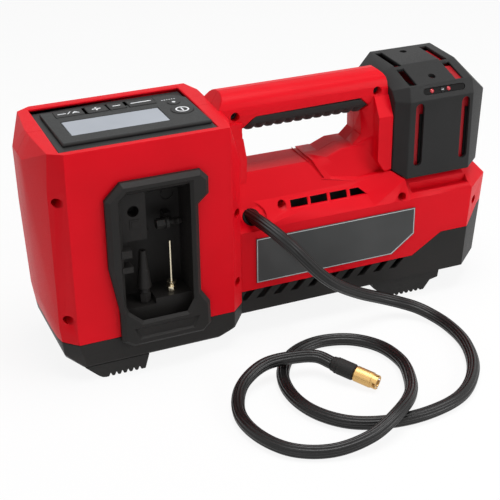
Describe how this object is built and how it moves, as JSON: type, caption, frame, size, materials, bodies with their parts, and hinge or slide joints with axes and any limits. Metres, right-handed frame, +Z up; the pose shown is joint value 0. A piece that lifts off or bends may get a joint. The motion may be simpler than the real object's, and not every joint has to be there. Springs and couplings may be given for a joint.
{
  "type": "portable tyre inflator",
  "caption": "Portable tyre inflator: tall display head with a front storage bay, pump body under a carry handle, slide-on battery at the rear, and a coiled rubber air hose with a brass chuck.",
  "frame": {"origin": "middle of the footprint without the hose, on the floor plane under the feet", "axes": "+X from the display head towards the battery, -Y the side of the storage bay and hose, +Z up"},
  "size_m": [0.4212, 0.2879, 0.2115],
  "materials": {
    "housing_red": "moulded, satin",
    "lower_black": "moulded, fine grain",
    "soft_rubber": "matt",
    "charcoal_plastic": "moulded, fine grain",
    "deep_red_plastic": "moulded",
    "display_glass": "polished",
    "nickel_plate": "bright",
    "brass": "turned",
    "steel": "plain",
    "cast_aluminium": "as cast",
    "circuit_board": "lacquered",
    "cell_wrap": "shrink film",
    "white_plastic": "moulded"
  },
  "bodies": {
    "inflator": {"accessory_bay": "lower_black", "air_hose": "soft_rubber", "air_line": "white_plastic", "battery_rail": "lower_black", "body_base": "lower_black", "chuck_stem": "brass", "control_board": "circuit_board", "cylinder_head": "cast_aluminium", "display_bezel": "lower_black", "display_board": "circuit_board", "display_panel": "charcoal_plastic", "display_window": "display_glass", "foot_body_back": "soft_rubber", "foot_body_front": "soft_rubber", "foot_head_back": "soft_rubber", "foot_head_front": "soft_rubber", "handle_grip": "soft_rubber", "head_base": "lower_black", "hose_ferrule": "soft_rubber", "hose_gland": "soft_rubber", "housing_back": "housing_red", "housing_front": "housing_red", "label_plate": "charcoal_plastic", "lcd_module": "display_glass", "motor_can": "steel", "power_lead": "soft_rubber", "pump_cylinder": "cast_aluminium", "pump_plate": "cast_aluminium", "screw_handle_front": "steel", "screw_handle_rear": "steel", "screw_head_left_low": "steel", "screw_head_left_top": "steel", "screw_head_right_low": "steel", "screw_head_right_top": "steel", "screw_rear_corner": "steel", "screw_shoulder_front": "steel", "screw_shoulder_rear": "steel", "terminal_block": "lower_black"},
    "battery": {"battery_case": "charcoal_plastic", "battery_core": "deep_red_plastic", "cell_block": "cell_wrap", "battery_base": "lower_black", "gauge_lens": "lower_black"},
    "release_latch": {"release_latch": "deep_red_plastic"},
    "gauge_button": {"gauge_button": "white_plastic"},
    "key_units": {"key_units": "soft_rubber"},
    "key_plus": {"key_plus": "soft_rubber"},
    "key_minus": {"key_minus": "soft_rubber"},
    "key_preset": {"key_preset": "soft_rubber"},
    "light_button": {"light_button": "soft_rubber"},
    "power_button": {"power_button": "soft_rubber"},
    "chuck_collar": {"chuck_collar": "brass"},
    "motor_rotor": {"motor_rotor": "steel", "cooling_fan": "white_plastic"},
    "drive_gear": {"drive_gear": "steel"},
    "connecting_rod": {"connecting_rod": "cast_aluminium"},
    "pump_piston": {"pump_piston": "cast_aluminium"},
    "ball_needle": {"ball_needle": "nickel_plate"},
    "cone_nozzle": {"cone_nozzle": "lower_black"},
    "valve_adapter": {"valve_adapter": "lower_black"}
  },
  "joints": [
    {"name": "battery_slide", "type": "slide", "parent": "inflator", "child": "battery", "axis": [0, 0, 1], "range_m": [0, 0.08]},
    {"name": "latch_press", "type": "slide", "parent": "battery", "child": "release_latch", "axis": [-1, 0, 0], "range_m": [0, 0.0025], "stiffness_N_per_m": 400},
    {"name": "gauge_press", "type": "slide", "parent": "battery", "child": "gauge_button", "axis": [0, 0.87, -0.493], "range_m": [0, 0.0006], "stiffness_N_per_m": 300},
    {"name": "key_units_press", "type": "slide", "parent": "inflator", "child": "key_units", "axis": [0, 0, -1], "range_m": [0, 0.001], "stiffness_N_per_m": 300},
    {"name": "key_plus_press", "type": "slide", "parent": "inflator", "child": "key_plus", "axis": [0, 0, -1], "range_m": [0, 0.001], "stiffness_N_per_m": 300},
    {"name": "key_minus_press", "type": "slide", "parent": "inflator", "child": "key_minus", "axis": [0, 0, -1], "range_m": [0, 0.001], "stiffness_N_per_m": 300},
    {"name": "key_preset_press", "type": "slide", "parent": "inflator", "child": "key_preset", "axis": [0, 0, -1], "range_m": [0, 0.001], "stiffness_N_per_m": 300},
    {"name": "light_button_press", "type": "slide", "parent": "inflator", "child": "light_button", "axis": [0, 0, -1], "range_m": [0, 0.001], "stiffness_N_per_m": 300},
    {"name": "power_button_press", "type": "slide", "parent": "inflator", "child": "power_button", "axis": [0, 0, -1], "range_m": [0, 0.001], "stiffness_N_per_m": 300},
    {"name": "chuck_spin", "type": "hinge", "parent": "inflator", "child": "chuck_collar", "pos_m": [0.0016, -0.1247, 0.0134], "axis": [0.5969, -0.7878, -0.152], "continuous": true},
    {"name": "rotor_spin", "type": "hinge", "parent": "inflator", "child": "motor_rotor", "pos_m": [0.0421, 0.0035, 0.05], "axis": [1, 0, 0], "continuous": true},
    {"name": "gear_spin", "type": "hinge", "parent": "inflator", "child": "drive_gear", "pos_m": [0.0421, 0.0035, 0.0714], "axis": [1, 0, 0], "continuous": true},
    {"name": "rod_pivot", "type": "hinge", "parent": "drive_gear", "child": "connecting_rod", "pos_m": [0.0306, 0.0035, 0.0664], "axis": [1, 0, 0], "continuous": true},
    {"name": "piston_slide", "type": "slide", "parent": "inflator", "child": "pump_piston", "axis": [0, 0, 1], "range_m": [0, 0.01]},
    {"name": "ball_needle_pull", "type": "slide", "parent": "inflator", "child": "ball_needle", "axis": [0, -1, 0], "range_m": [0, 0.05]},
    {"name": "cone_nozzle_pull", "type": "slide", "parent": "inflator", "child": "cone_nozzle", "axis": [0, -1, 0], "range_m": [0, 0.05]},
    {"name": "valve_adapter_pull", "type": "slide", "parent": "inflator", "child": "valve_adapter", "axis": [0, -1, 0], "range_m": [0, 0.05]}
  ],
  "couplings": [
    {"joint": "gear_spin", "follows": "rotor_spin", "ratio": -0.25},
    {"joint": "rod_pivot", "follows": "rotor_spin", "ratio": 0.25}
  ]
}
